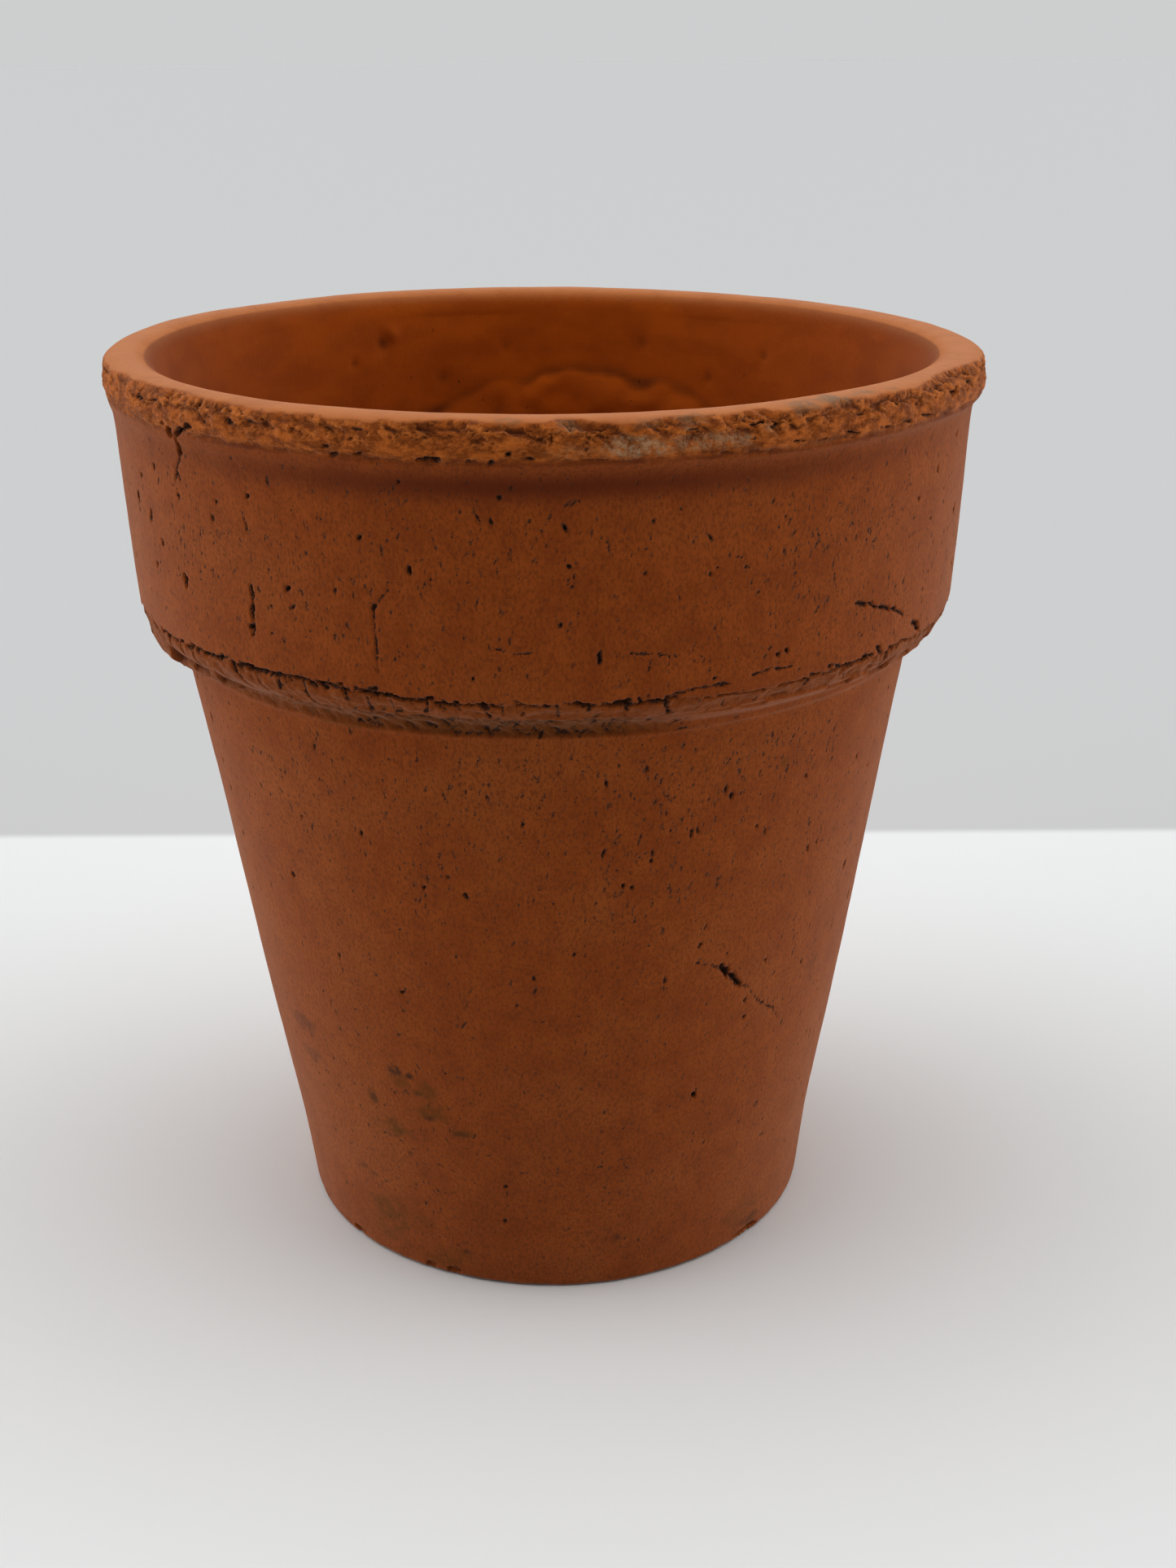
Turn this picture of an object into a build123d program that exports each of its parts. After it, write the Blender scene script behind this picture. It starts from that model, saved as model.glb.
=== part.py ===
from build123d import *

import os

# A small round flowerpot in unglazed fired clay, all sizes in millimetres.
# +Z is up the pot's axis and the origin is the centre of the underside.
# The pot is one body of revolution: a tapered wall, a straight collar around its
# upper part, a rolled lip around the mouth, and a floor with a drain hole through its middle.

POT_HEIGHT = 75.7
FOOT_RADIUS = 22.5
FOOT_ROUNDING = 0.5

# Outside of the tapered body, up to the ridge below the collar.
BODY_TOP_RADIUS = 30.3
BODY_TOP_HEIGHT = 51.9

# Underside of the collar: a shallow groove, then a narrow band, then the collar's edge.
GROOVE_RADIUS = 30.6
GROOVE_HEIGHT = 53.0
BAND_RADIUS = 32.2
BAND_HEIGHT = 53.9
COLLAR_EDGE_RADIUS = 33.5
COLLAR_EDGE_HEIGHT = 55.3
COLLAR_EDGE_ROUNDING = 1.2

# Collar and lip.
COLLAR_TOP_RADIUS = 34.4
LIP_RADIUS = 35.5
LIP_FACE_HEIGHT = 3.5
LIP_UNDERCUT_HEIGHT = 0.5
LIP_OUTER_ROUNDING = 1.6
LIP_INNER_ROUNDING = 1.3

# Cavity.
MOUTH_RADIUS = 31.0
CAVITY_FLOOR_RADIUS = 19.6
CAVITY_FLOOR_ROUNDING = 1.5
FLOOR_THICKNESS = 5.0
DRAIN_RADIUS = 5.0

SHARP = 0.0


def pot_outline():
    """Half section of the pot: (radius, height, rounding) of each corner, going round."""
    lip_step = POT_HEIGHT - LIP_FACE_HEIGHT
    return [
        (DRAIN_RADIUS, 0, SHARP),
        (FOOT_RADIUS, 0, FOOT_ROUNDING),
        (BODY_TOP_RADIUS, BODY_TOP_HEIGHT, SHARP),
        (GROOVE_RADIUS, GROOVE_HEIGHT, SHARP),
        (BAND_RADIUS, BAND_HEIGHT, SHARP),
        (COLLAR_EDGE_RADIUS, COLLAR_EDGE_HEIGHT, COLLAR_EDGE_ROUNDING),
        (COLLAR_TOP_RADIUS, lip_step, SHARP),
        (LIP_RADIUS, lip_step + LIP_UNDERCUT_HEIGHT, SHARP),
        (LIP_RADIUS, POT_HEIGHT, LIP_OUTER_ROUNDING),
        (MOUTH_RADIUS, POT_HEIGHT, LIP_INNER_ROUNDING),
        (CAVITY_FLOOR_RADIUS, FLOOR_THICKNESS, CAVITY_FLOOR_ROUNDING),
        (DRAIN_RADIUS, FLOOR_THICKNESS, SHARP),
    ]


def make_pot():
    """The whole pot, turned from its half section about the Z axis."""
    corners = pot_outline()
    points = [(radius, 0, height) for radius, height, rounding in corners]
    roundings = [rounding for radius, height, rounding in corners]
    outline = FilletPolyline(*points, radius=roundings, close=True)
    return revolve(make_face(outline.edges()), axis=Axis.Z)


def main():
    os.makedirs("parts", exist_ok=True)
    pot = make_pot()
    pot.label = "pot"
    export_step(pot, "parts/pot.step")


main()
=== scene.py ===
"""Looks of a small weathered terracotta flowerpot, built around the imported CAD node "pot".

Lengths are millimetres until the mesh is made, and a place on the pot is (turn, height): turn is the
angle round the axis in degrees, 0 at the front (-Y) and growing towards +X, and height is above the
underside. Depth is how far a point is pushed into the clay, along the section's normal.
"""

import math

import bpy
import numpy as np
from mathutils import Matrix, Vector


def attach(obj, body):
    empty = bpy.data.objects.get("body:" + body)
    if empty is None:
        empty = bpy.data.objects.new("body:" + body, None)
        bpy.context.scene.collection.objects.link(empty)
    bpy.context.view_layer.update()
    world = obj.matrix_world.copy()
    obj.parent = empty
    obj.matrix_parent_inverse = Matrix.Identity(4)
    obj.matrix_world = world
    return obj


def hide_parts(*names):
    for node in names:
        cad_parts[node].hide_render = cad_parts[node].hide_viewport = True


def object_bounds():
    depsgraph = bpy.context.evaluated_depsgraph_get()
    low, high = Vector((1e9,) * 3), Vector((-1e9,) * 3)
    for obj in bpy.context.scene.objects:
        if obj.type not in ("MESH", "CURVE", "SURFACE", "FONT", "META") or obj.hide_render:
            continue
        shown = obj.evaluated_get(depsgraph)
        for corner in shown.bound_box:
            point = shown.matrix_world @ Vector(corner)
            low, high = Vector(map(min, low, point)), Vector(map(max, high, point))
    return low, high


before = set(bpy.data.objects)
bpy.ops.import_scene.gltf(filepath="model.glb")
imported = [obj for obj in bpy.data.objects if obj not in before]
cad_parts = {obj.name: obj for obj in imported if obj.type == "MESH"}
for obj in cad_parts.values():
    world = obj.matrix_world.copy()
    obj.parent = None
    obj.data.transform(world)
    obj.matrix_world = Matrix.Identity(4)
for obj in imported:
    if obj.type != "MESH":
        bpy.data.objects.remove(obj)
CAD_LOW, CAD_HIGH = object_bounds()
MM = 0.001

# ---- dimensions

POT_HEIGHT = 75.5
LIP_RADIUS = CAD_HIGH.x / MM - 0.25
FOOT_RADIUS = 22.5
BODY_TOP_RADIUS = 30.3
BODY_TOP_HEIGHT = 51.9
COLLAR_EDGE_RADIUS = 33.5
COLLAR_EDGE_HEIGHT = 55.2
COLLAR_TOP_RADIUS = 34.4
LIP_STEP_HEIGHT = POT_HEIGHT - 3.4
MOUTH_RADIUS = 31.0
THROAT_RADIUS = MOUTH_RADIUS - 0.7
THROAT_HEIGHT = POT_HEIGHT - 5.0
CAVITY_RADIUS = 28.0
CAVITY_HEIGHT = 55.0
CAVITY_FLOOR_RADIUS = 19.6
FLOOR_HEIGHT = 5.0
CREST_RADIUS = LIP_RADIUS - 1.7
DRAIN_RADIUS = 5.0

# Section of the pot, going round it from the drain hole's lower edge: radius, height,
# rounding, and the spacing of the mesh rows there.
SECTION = [
    (DRAIN_RADIUS, 0.0, 0.5, 0.5),
    (14.0, 0.0, 0.0, 0.8),
    (FOOT_RADIUS, 0.0, 0.35, 0.14),
    (23.5, 8.0, 2.0, 0.27),
    (26.35, 25.5, 9.0, 0.25),
    (29.5, 46.8, 3.0, 0.24),
    (BODY_TOP_RADIUS, BODY_TOP_HEIGHT - 0.2, 0.3, 0.14),
    (BODY_TOP_RADIUS + 0.25, BODY_TOP_HEIGHT + 0.4, 0.2, 0.12),
    (BODY_TOP_RADIUS + 0.45, BODY_TOP_HEIGHT + 1.0, 0.4, 0.12),
    (31.6, 53.4, 0.5, 0.12),
    (32.6, 54.2, 0.5, 0.12),
    (COLLAR_EDGE_RADIUS, COLLAR_EDGE_HEIGHT, 1.2, 0.12),
    (33.7, 58.5, 0.5, 0.16),
    (COLLAR_TOP_RADIUS - 0.1, LIP_STEP_HEIGHT - 1.6, 0.8, 0.16),
    (COLLAR_TOP_RADIUS + 0.05, LIP_STEP_HEIGHT - 0.4, 0.5, 0.14),
    (LIP_RADIUS - 0.3, LIP_STEP_HEIGHT + 0.5, 0.4, 0.12),
    (LIP_RADIUS, LIP_STEP_HEIGHT + 0.9, 0.3, 0.12),
    (LIP_RADIUS, POT_HEIGHT, 1.9, 0.14),
    (MOUTH_RADIUS, POT_HEIGHT, 1.9, 0.2),
    (THROAT_RADIUS, THROAT_HEIGHT, 1.0, 0.4),
    (CAVITY_RADIUS, CAVITY_HEIGHT, 0.0, 0.5),
    (CAVITY_FLOOR_RADIUS, FLOOR_HEIGHT, 2.0, 0.8),
    (DRAIN_RADIUS, FLOOR_HEIGHT, 0.7, 0.5),
]

# Degrees between the mesh's columns, close over the front and wider behind, and the turns
# where the front ends and the change is done.
FRONT_COLUMN = 0.22
BACK_COLUMN = 0.48
FRONT_REACH = 78
BACK_START = 103
# Rows count as the outside if this share of their normal or more points outwards.
FACING_OUT = 0.05

# Shape of the hand-made whole: the axis leans, the rim's back half is tilted and the lip sits off centre.
LEAN = -0.0032
RIM_TILT = -0.0082
RIM_DROP = 0.16
LIP_OFFSET = 0.2


# ---- smooth random fields

# Cells in the lattice of random slopes, and what brings the noise to about -1 to 1.
LATTICE = 32
NOISE_GAIN = 1.6


def smooth_noise(points, size, seed):
    """Gradient noise, about -1 to 1, with lumps of the given size."""
    rng = np.random.default_rng(seed)
    slopes = rng.normal(size=(LATTICE, LATTICE, LATTICE, 3)).astype(np.float32)
    slopes /= np.linalg.norm(slopes, axis=-1, keepdims=True)
    scaled = (points / size).astype(np.float32)
    base = np.floor(scaled).astype(np.int32)
    part = scaled - base
    ease = part * part * part * (part * (part * 6 - 15) + 10)
    total = np.zeros(points.shape[:-1], np.float32)
    for corner in np.ndindex(2, 2, 2):
        index = (base + corner) % LATTICE
        slope = slopes[index[..., 0], index[..., 1], index[..., 2]]
        reach = part - np.array(corner, np.float32)
        weight = np.prod(np.where(corner, ease, 1 - ease), axis=-1)
        total += weight * np.sum(slope * reach, axis=-1)
    return total * NOISE_GAIN


def fractal(points, size, octaves, seed, gain=0.5):
    """Noise with finer and fainter layers added, about -1 to 1."""
    total = 0
    for layer in range(octaves):
        total = total + gain**layer * smooth_noise(points, size / 2**layer, seed + layer)
    return total


def step(low, high, value):
    """Smooth ramp from 0 at low to 1 at high."""
    part = np.clip((value - low) / (high - low), 0, 1)
    return part * part * (3 - 2 * part)


# ---- the grid over the clay


def rounded_section(corners):
    """Dense closed outline of the section, as (radius, height, row spacing), with its corners rounded."""
    points = []
    count = len(corners)
    for i, (radius, height, rounding, spacing) in enumerate(corners):
        here = np.array([radius, height])
        if rounding == 0:
            points.append((radius, height, spacing))
            continue
        ends = []
        for other in (corners[i - 1], corners[(i + 1) % count]):
            way = np.array(other[:2]) - here
            length = np.hypot(*way)
            ends.append(here + way / length * min(rounding, length * 0.45))
        for t in np.linspace(0, 1, 9):
            bend = (1 - t) ** 2 * ends[0] + 2 * t * (1 - t) * here + t * t * ends[1]
            points.append((*bend, spacing))
    return np.array(points)


def section_rows(corners):
    """Rows of the grid: radius, height, outward normal and distance along the section."""
    outline = rounded_section(corners)
    closed = np.vstack([outline, outline[:1]])
    walked = np.concatenate([[0], np.cumsum(np.hypot(*np.diff(closed[:, :2], axis=0).T))])
    fine = np.linspace(0, walked[-1], 20000)
    radius, height, spacing = (np.interp(fine, walked, closed[:, k]) for k in range(3))
    crowding = np.concatenate([[0], np.cumsum(np.diff(fine) / spacing[1:])])
    rows = int(crowding[-1])
    along = np.interp(np.arange(rows) * crowding[-1] / rows, crowding, fine)
    radius, height = (np.interp(along, fine, values) for values in (radius, height))
    run = np.roll(radius, -1) - np.roll(radius, 1)
    rise = np.roll(height, -1) - np.roll(height, 1)
    length = np.hypot(run, rise)
    return radius, height, rise / length, -run / length, along


def column_turns():
    """Turns of the grid's columns, once round the pot."""
    fine = np.linspace(-180, 180, 20001)
    blend = step(FRONT_REACH, BACK_START, np.abs(fine))
    spacing = FRONT_COLUMN + (BACK_COLUMN - FRONT_COLUMN) * blend
    crowding = np.concatenate([[0], np.cumsum(np.diff(fine) / spacing[1:])])
    count = int(crowding[-1])
    return np.interp(np.arange(count) * crowding[-1] / count, crowding, fine)


class Clay:
    """The pot's surface as a grid: rows go round the section and columns round the axis."""

    def __init__(self):
        self.radius, self.height, self.normal_out, self.normal_up, self.along = section_rows(SECTION)
        self.turn = column_turns()
        angle = np.radians(self.turn)
        self.sine, self.cosine = np.sin(angle), np.cos(angle)
        self.points = self.placed(np.zeros((len(self.radius), len(self.turn))))
        self.depth = np.zeros(self.points.shape[:2], np.float32)
        self.masks = {}
        crest = int(np.argmin(np.hypot(self.radius - CREST_RADIUS, self.height - POT_HEIGHT)))
        self.crest = self.along[crest]
        outer = self.normal_out[: crest + 1] > FACING_OUT
        self.outer_heights = self.height[: crest + 1][outer]
        self.outer_alongs = self.along[: crest + 1][outer]

    def placed(self, depth):
        """Points of the surface after each is pushed in by depth."""
        radius = self.radius[:, None] - self.normal_out[:, None] * depth
        height = self.height[:, None] - self.normal_up[:, None] * depth
        return np.stack([radius * self.sine, -radius * self.cosine, height], axis=-1)

    def along_at(self, height):
        """Distance along the section of the outside at a height."""
        return np.interp(height, self.outer_heights, self.outer_alongs)

    def rows(self, first, last):
        """The rows between two distances along the section."""
        return slice(*np.searchsorted(self.along, (first, last)))

    def patch(self, turn, along, reach):
        """Rows and columns within reach of a place, with their offsets from it."""
        rows = np.flatnonzero(np.abs(self.along - along) < reach)
        gap = (self.turn - turn + 180) % 360 - 180
        across = np.radians(gap)[None, :] * self.radius[rows, None]
        columns = np.flatnonzero(np.abs(across).min(axis=0) < reach)
        where = np.ix_(rows, columns)
        return where, across[:, columns], (self.along[rows] - along)[:, None]

    def mask(self, name):
        """The named mask, made the first time it is asked for."""
        if name not in self.masks:
            self.masks[name] = np.zeros(self.depth.shape, np.float32)
        return self.masks[name]

    def raise_mask(self, name, where, values):
        """Lifts a mask to at least the values given."""
        mask = self.mask(name)
        mask[where] = np.maximum(mask[where], values)


clay = Clay()
POINTS = clay.points
ALONG = clay.along[:, None]
TURN = clay.turn[None, :]


def stretched(points, sideways):
    """Points squeezed so that noise sampled there comes out longer sideways."""
    return points / np.array([sideways, sideways, 1.0])


def slanted(points, slope, radius):
    """Points raised along the turn, so that noise sampled there comes out slanting."""
    raised = points.copy()
    raised[..., 2] += slope * np.radians(TURN) * radius
    return raised


# ---- relief: pits and cracks


# The marks' masks colour pits and cracks near black in the material: painted shade inside them.
# A mark's mask falls by this much for each millimetre out from its edge, where it is a half.
MARK_SLOPE = 3.0
# How far round a pit its soft edge is worked out.
MARK_MARGIN = 0.5


def press_pit(turn, height, wide, tall, deep, slant=0.0, dark=1.0, ragged=0.35, mask="pit"):
    """A ragged pit, wide and tall in millimetres, slanting by some degrees from upright."""
    where, across, up = clay.patch(turn, clay.along_at(height), max(wide, tall) / 2 + MARK_MARGIN)
    lean = math.radians(slant)
    side = across * math.cos(lean) - up * math.sin(lean)
    rise = across * math.sin(lean) + up * math.cos(lean)
    reach = min(wide, tall) / 2
    gap = (np.hypot(side / (wide / 2), rise / (tall / 2)) - 1) * reach
    gap = gap + ragged * reach * smooth_noise(POINTS[where], 0.4, 11)
    clay.depth[where] += deep * step(0.06, -0.12, gap)
    clay.raise_mask(mask, where, dark * np.clip(0.5 - MARK_SLOPE * gap, 0, 1))


def cut_crack(route, wide, deep, dark=1.0):
    """A ragged crack along a route of (turn, height) places."""
    places = [(turn, clay.along_at(height)) for turn, height in route]
    for (turn_a, along_a), (turn_b, along_b) in zip(places, places[1:]):
        half_turn = math.radians(turn_b - turn_a) / 2
        reach = abs(half_turn) * LIP_RADIUS + abs(along_b - along_a) / 2 + wide + 0.4
        where, across, up = clay.patch((turn_a + turn_b) / 2, (along_a + along_b) / 2, reach)
        run, rise = half_turn * clay.radius[where[0][:, 0]][:, None], (along_b - along_a) / 2
        part = np.clip((across * run + up * rise) / (run**2 + rise**2), -1, 1)
        near = POINTS[where]
        wobble = 0.12 * smooth_noise(near, 0.8, 21) + 0.09 * smooth_noise(near, 0.35, 23)
        sway = 0.10 * smooth_noise(near, 0.6, 24)
        gap = np.hypot(across - part * run + sway, up - part * rise + wobble)
        gap = gap - wide / 2 * (1.0 + 1.3 * smooth_noise(near, 0.55, 22))
        clay.depth[where] = np.maximum(clay.depth[where], deep * step(0.08, -0.08, gap))
        clay.raise_mask("pit", where, dark * np.clip(0.5 - MARK_SLOPE * gap, 0, 1))


# Pits on the front of the collar: turn, height, wide, tall, deep, and the slant if there is one.
COLLAR_PITS = [
    (-50.1, 61.3, 0.7, 1.4, 0.5, -5), (-37.4, 59.3, 0.9, 0.5, 0.4, -20), (-36.8, 62.1, 0.45, 0.9, 0.35),
    (-30.8, 62.7, 0.7, 0.5, 0.4), (-30.4, 61.4, 0.8, 0.3, 0.3, -30), (-42.4, 66.8, 0.5, 0.6, 0.35, -20),
    (-41.3, 68.1, 0.3, 0.5, 0.25, -30), (-48.6, 69.4, 0.35, 0.8, 0.3, -35), (-49.2, 67.9, 0.35, 0.8, 0.3),
    (-47.2, 71.2, 0.5, 0.6, 0.45), (-55.3, 63.5, 0.5, 0.7, 0.3), (-58.0, 65.4, 0.5, 1.2, 0.3, 10),
    (-58.3, 61.5, 0.5, 0.5, 0.25, 20), (-59.8, 68.2, 0.4, 0.5, 0.25), (-54.9, 69.4, 0.4, 0.6, 0.25, -20),
    (-36.5, 67.0, 0.25, 1.1, 0.25, -10), (-33.7, 61.2, 0.35, 0.4, 0.2), (-34.1, 59.1, 0.5, 0.35, 0.2),
    (-35.7, 69.0, 0.4, 0.4, 0.25), (-20.3, 67.1, 0.4, 0.45, 0.35), (-14.5, 65.1, 0.4, 0.7, 0.4, -15),
    (-12.0, 64.5, 0.3, 0.25, 0.2), (-19.1, 62.2, 0.35, 0.5, 0.3), (-24.1, 63.1, 0.35, 0.5, 0.25),
    (-15.1, 71.2, 0.4, 0.3, 0.3), (-6.4, 69.0, 0.28, 0.8, 0.3, -30), (-4.8, 68.6, 0.28, 0.6, 0.3, -25),
    (-3.8, 70.3, 0.5, 0.4, 0.3, -50), (-2.5, 70.9, 0.35, 0.25, 0.25, -50), (3.4, 68.1, 0.35, 0.9, 0.4, -25),
    (3.7, 65.5, 0.55, 0.3, 0.3, 10), (4.3, 64.8, 0.22, 0.7, 0.25, -10), (4.1, 64.1, 0.35, 0.25, 0.25),
    (2.7, 61.4, 0.35, 0.35, 0.25), (7.2, 58.9, 0.55, 1.0, 0.5, 10), (-0.6, 68.7, 0.28, 0.25, 0.2),
    (0.9, 68.0, 0.5, 0.2, 0.2), (12.4, 64.8, 0.35, 0.25, 0.2), (16.5, 69.1, 0.3, 0.3, 0.2),
    (13.3, 68.4, 0.25, 0.35, 0.2), (20.2, 66.9, 0.22, 0.8, 0.25, -35), (20.3, 64.4, 0.25, 0.5, 0.25, -25),
    (21.2, 64.8, 0.35, 0.25, 0.25), (24.9, 64.6, 0.35, 0.35, 0.2), (30.0, 57.7, 0.45, 0.5, 0.35),
    (31.3, 57.9, 0.4, 0.5, 0.3, -35), (29.9, 67.8, 0.28, 0.3, 0.2), (39.8, 69.8, 0.4, 0.3, 0.25, 40),
    (54.3, 66.7, 0.35, 0.35, 0.25), (51.2, 66.9, 0.35, 0.35, 0.2), (59.4, 68.4, 0.4, 0.8, 0.25, -10),
    (58.5, 64.8, 0.45, 0.3, 0.2), (-7.6, 57.4, 0.3, 0.6, 0.25, -20), (21.3, 56.7, 0.35, 0.3, 0.2),
]

# Pits on the front of the body, in the same terms.
BODY_PITS = [
    (-2.8, 44.9, 0.4, 0.35, 0.35), (-2.6, 44.2, 0.3, 0.35, 0.25), (-14.4, 40.0, 0.45, 0.3, 0.3),
    (-11.9, 38.5, 0.4, 0.8, 0.35, -25), (-18.5, 38.8, 0.6, 0.35, 0.3, -35), (12.0, 39.3, 0.4, 0.45, 0.4),
    (13.3, 39.1, 0.4, 0.35, 0.35), (8.8, 42.3, 0.28, 0.8, 0.3, 10), (16.2, 41.2, 0.4, 0.4, 0.35),
    (16.2, 42.0, 0.25, 0.5, 0.25), (22.2, 43.2, 0.25, 1.2, 0.3), (23.2, 43.3, 0.25, 0.6, 0.25),
    (25.6, 32.9, 0.7, 0.4, 0.35, -40), (26.2, 34.5, 0.3, 0.6, 0.25, 20), (19.7, 30.3, 0.35, 0.7, 0.3),
    (-24.8, 28.7, 0.5, 0.4, 0.25), (-24.2, 29.1, 0.4, 0.4, 0.25), (-5.0, 28.7, 0.4, 0.35, 0.2),
    (4.6, 33.5, 0.25, 0.6, 0.3, 35), (-1.9, 31.3, 0.4, 0.5, 0.2), (28.4, 45.7, 0.35, 0.6, 0.3),
    (27.3, 46.4, 0.3, 0.6, 0.3), (-28.2, 42.7, 0.45, 0.5, 0.3), (-40.0, 42.7, 0.35, 0.35, 0.25),
    (-45.4, 36.7, 0.5, 0.6, 0.25, -20), (-37.2, 30.6, 0.4, 0.35, 0.25), (27.5, 18.2, 0.7, 0.6, 0.6),
    (36.6, 26.2, 0.4, 0.5, 0.3), (37.0, 24.6, 0.6, 0.35, 0.3, -20), (31.0, 31.4, 0.4, 0.4, 0.2),
    (-8.9, 10.4, 0.5, 0.35, 0.2), (-9.5, 6.8, 0.5, 0.3, 0.2), (-34.3, 49.4, 0.35, 0.5, 0.25),
    (-28.5, 47.6, 0.3, 0.35, 0.2), (10.7, 49.6, 0.25, 0.4, 0.25, -10), (14.7, 49.2, 0.3, 0.8, 0.3),
    (9.0, 48.2, 0.3, 0.8, 0.25), (-10.6, 47.4, 0.25, 0.5, 0.2), (17.6, 46.7, 0.3, 0.3, 0.25),
    (33.8, 42.5, 0.4, 0.35, 0.3), (37.0, 42.6, 0.5, 0.25, 0.25), (35.6, 41.8, 0.3, 0.5, 0.25),
    (43.0, 45.6, 0.35, 0.35, 0.25), (48.8, 39.0, 0.4, 0.6, 0.25), (46.5, 38.8, 0.4, 0.6, 0.25),
    (57.2, 45.0, 0.4, 0.3, 0.25), (40.2, 29.5, 0.4, 0.3, 0.25), (51.0, 27.4, 0.4, 0.4, 0.25),
]

# Cracks: route of (turn, height), wide, deep.
CRACKS = [
    ([(-36.7, 62.4), (-36.6, 61.0), (-37.1, 60.4), (-36.9, 59.6), (-37.3, 58.8)], 0.22, 0.35),
    ([(-19.2, 62.3), (-19.4, 61.0), (-19.2, 59.5), (-19.3, 57.5)], 0.14, 0.2),
    ([(-17.2, 63.6), (-19.1, 62.2)], 0.12, 0.15),
    ([(42.4, 60.2), (44.8, 59.9), (47.2, 59.3), (50.6, 58.8)], 0.22, 0.4),
    ([(50.6, 58.8), (52.0, 58.3), (54.4, 57.7)], 0.16, 0.25),
    ([(56.2, 57.0), (57.4, 56.7), (58.6, 56.1)], 0.34, 0.4),
    ([(-4.9, 59.7), (-2.5, 59.3), (0.0, 59.5)], 0.12, 0.12),
    ([(10.8, 59.1), (13.0, 59.0), (16.3, 58.7)], 0.13, 0.15),
    ([(26.5, 56.5), (29.0, 56.75), (32.0, 56.6)], 0.16, 0.2),
    ([(15.3, 55.75), (19.0, 56.1), (23.3, 56.2)], 0.13, 0.2),
    ([(-47.3, 71.1), (-48.6, 70.0), (-49.4, 68.8)], 0.13, 0.15),
    ([(25.2, 31.3), (28.0, 30.7), (30.3, 30.2)], 0.14, 0.15),
    ([(30.3, 30.2), (32.3, 29.2), (34.9, 28.0)], 0.45, 0.55),
    ([(34.9, 28.0), (37.5, 27.2), (40.3, 25.4), (44.5, 24.2), (46.0, 23.0)], 0.15, 0.18),
]

# Short cracks that hang from the hairline on the collar: turn, top, bottom.
HAIRLINE_TICKS = [
    (9.2, 59.3, 58.8), (10.0, 59.0, 58.4), (11.3, 58.8, 58.3), (13.0, 58.3, 57.9), (14.2, 58.7, 58.2),
    (15.5, 58.6, 58.2), (16.3, 58.5, 57.9), (19.5, 58.5, 58.1),
]


# Shares of a front pit's width and height that its mouth takes: the rest is its soft edge.
MOUTH_WIDE = 0.66
MOUTH_TALL = 0.78


def add_front_marks():
    """The pits and cracks of the front, one by one."""
    for turn, height, wide, tall, deep, *slant in COLLAR_PITS + BODY_PITS:
        press_pit(turn, height, wide * MOUTH_WIDE, tall * MOUTH_TALL, deep, *slant, ragged=0.8)
    for route, wide, deep in CRACKS:
        cut_crack(route, wide, deep)
    for turn, top, bottom in HAIRLINE_TICKS:
        cut_crack([(turn, top), (turn + 0.1, bottom)], 0.08, 0.12)


# Fields of fine pits on the front: turn, height, spread of each, how many tries, slant.
PIT_FIELDS = [
    (38, 66.0, 8, 1.8, 120, 8), (37, 48.5, 8, 1.8, 110, 10), (17, 42.0, 8, 4.5, 160, 8),
    (-47, 65.0, 9, 3.5, 140, 5), (-5, 67.0, 12, 2.5, 80, 15), (-20, 62.0, 14, 4.0, 90, 5),
    (-30, 45.0, 14, 4.5, 120, -5), (30, 60.0, 14, 3.0, 80, 15), (0, 48.0, 14, 2.5, 100, 5),
    (0, 30.0, 20, 8.0, 120, 25), (25, 13.0, 18, 6.0, 120, 65), (-20, 9.0, 18, 5.0, 140, -60),
    (-40, 25.0, 12, 10.0, 100, -30), (48, 27.0, 10, 9.0, 90, 30), (55, 61.0, 8, 5.0, 70, 5),
]


def add_pit_fields():
    """Fine pits drawn out along the wiping marks, thick in some places and thin in others."""
    rng = np.random.default_rng(6)
    for turn, height, turn_spread, height_spread, count, slant in PIT_FIELDS:
        for _ in range(count):
            wide = 0.05 + 0.11 * rng.random() ** 2
            tall = wide * rng.uniform(1.2, 3.6)
            place = rng.normal(turn, turn_spread), rng.normal(height, height_spread)
            if 1.0 < place[1] < 51.5 or 56.3 < place[1] < 71.8:
                press_pit(*place, wide, tall, 0.05, rng.normal(slant, 16), 1.0, 0.9, "fine")


SIDE_PITS = 220
SIDE_CRACKS = 9
FINE_PITS = 2200


def add_scattered_marks():
    """Pits and cracks of the same kind over the sides and the back, and fine pits everywhere."""
    rng = np.random.default_rng(5)
    for _ in range(SIDE_PITS):
        turn = rng.uniform(62, 298)
        height = rng.choice([rng.uniform(56.5, 71.5), rng.uniform(30, 51), rng.uniform(4, 51)])
        wide = rng.uniform(0.16, 0.34)
        tall, deep = wide * rng.uniform(0.8, 2.8), rng.uniform(0.15, 0.35)
        press_pit(turn, height, wide, tall, deep, rng.normal(0, 18))
    for _ in range(FINE_PITS):
        turn = rng.uniform(-180, 180)
        height = rng.choice([rng.uniform(56.2, 71.8), rng.uniform(36, 51.5), rng.uniform(2, 51)])
        wide = rng.uniform(0.05, 0.11)
        press_pit(turn, height, wide, wide * rng.uniform(1.0, 3.2), 0.03, rng.normal(8, 20), 1.0, 0.9, "fine")
    for _ in range(SIDE_CRACKS):
        turn, height = rng.uniform(75, 285), rng.uniform(58, 70)
        route = [(turn, height)]
        for _ in range(4):
            turn, height = turn + rng.normal(0, 0.9), height - rng.uniform(0.3, 0.8)
            route.append((turn, height))
        cut_crack(route, rng.uniform(0.05, 0.14), 0.15)


# ---- relief: whole zones


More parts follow.
